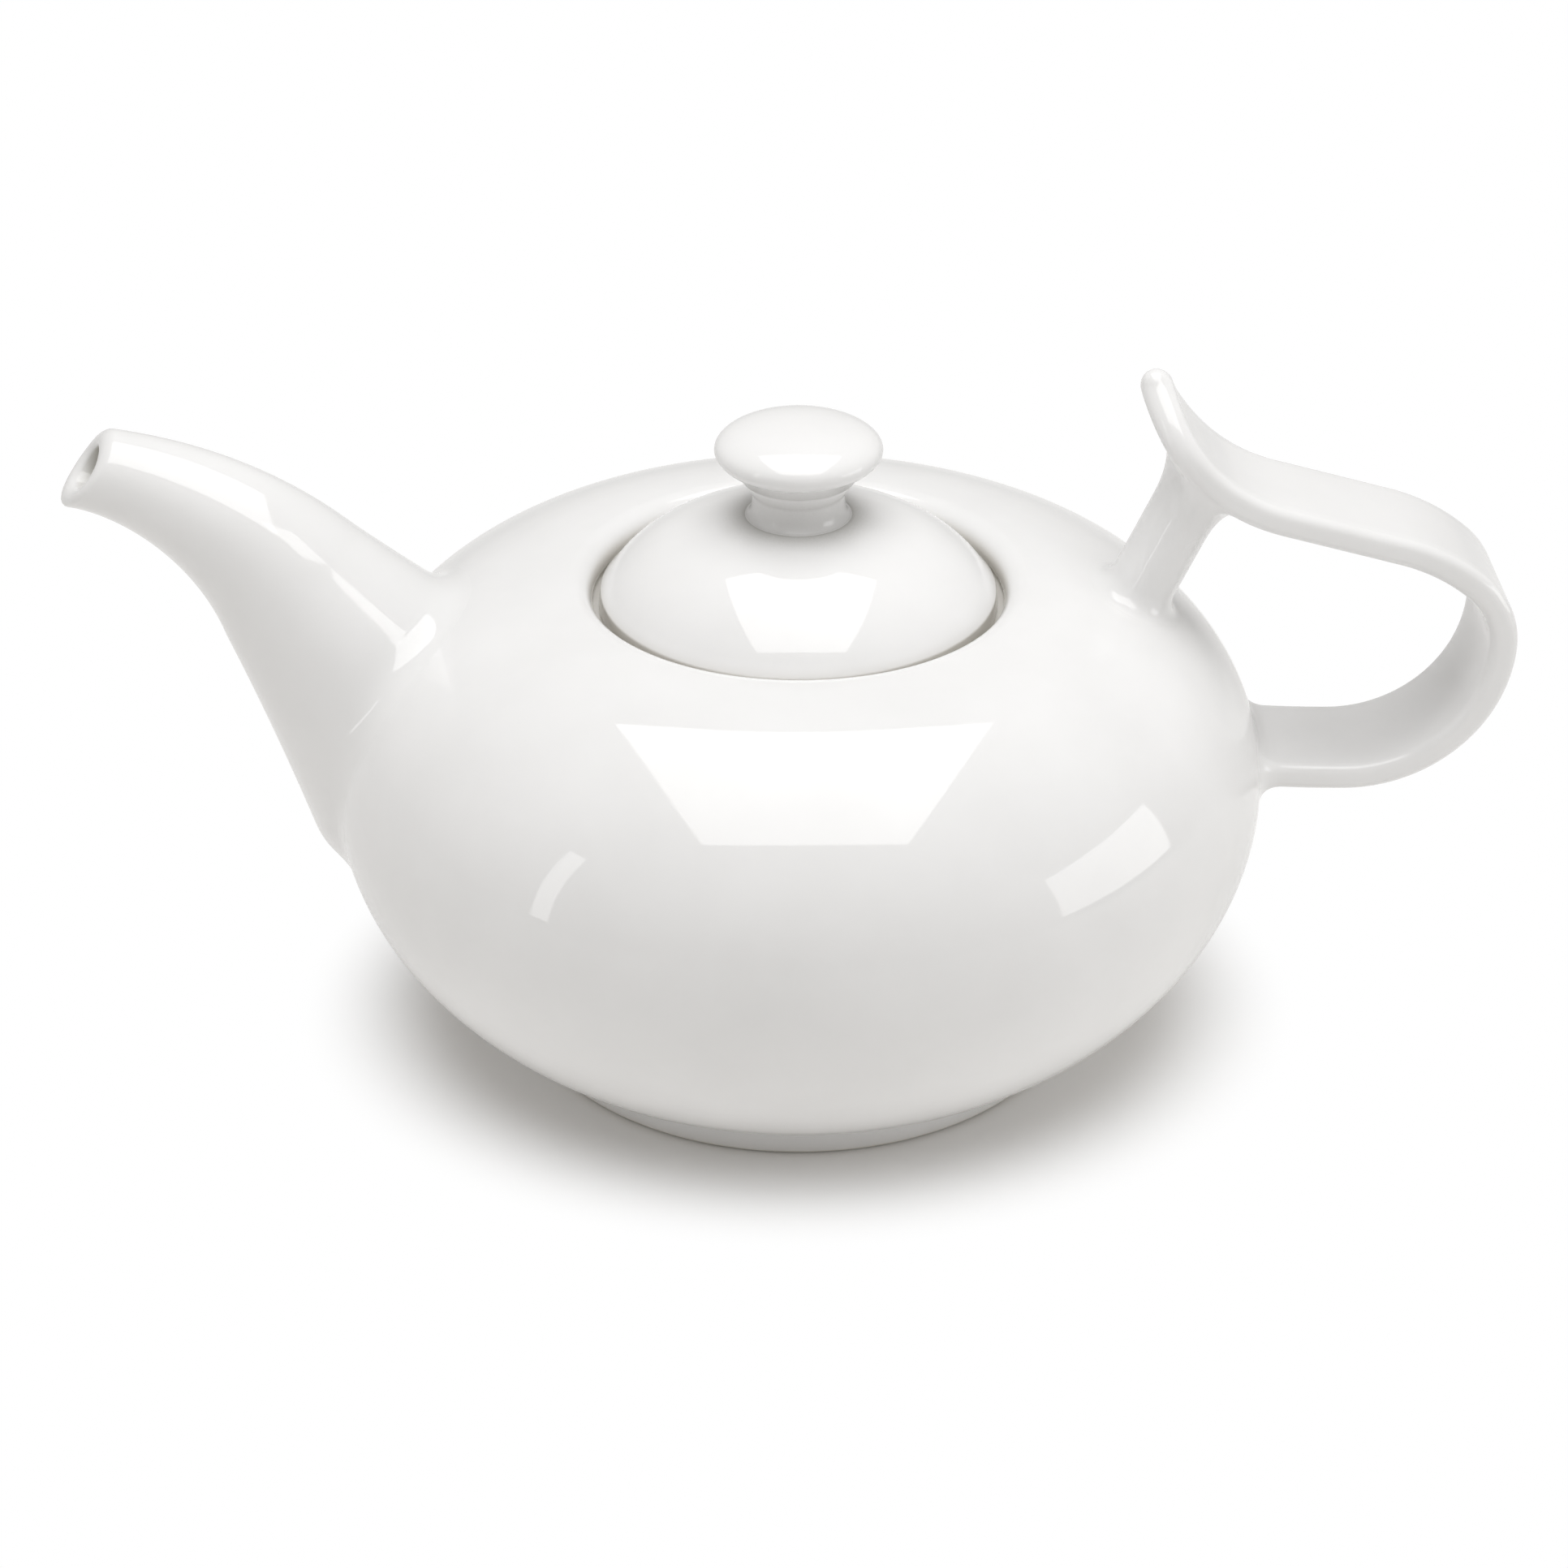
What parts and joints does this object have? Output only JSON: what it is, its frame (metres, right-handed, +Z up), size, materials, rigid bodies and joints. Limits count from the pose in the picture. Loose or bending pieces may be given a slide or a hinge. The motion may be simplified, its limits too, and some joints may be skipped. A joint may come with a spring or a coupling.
{
  "type": "teapot",
  "caption": "Round porcelain teapot on a low foot, with a curved hollow spout, a ribbon loop handle carried by a post, and a domed lift-off lid with a mushroom knob.",
  "frame": {"origin": "middle of the foot on the table", "axes": "+Z up along the pot's axis, +X to the handle, -X to the spout"},
  "size_m": [0.2558, 0.168, 0.1275],
  "materials": {
    "glaze": "glossy",
    "foot_rim": "matte"
  },
  "bodies": {
    "pot": {"pot_body": "glaze", "pot_shoulder": "glaze", "lid_seat": "glaze", "strainer": "glaze", "foot_ring": "foot_rim", "spout": "glaze", "handle_strap": "glaze", "handle_post": "glaze"},
    "lid": {"lid": "glaze", "lid_knob": "glaze"}
  },
  "joints": [
    {"name": "lid_lift", "type": "slide", "parent": "pot", "child": "lid", "axis": [0, 0, 1], "range_m": [0, 0.08]}
  ]
}
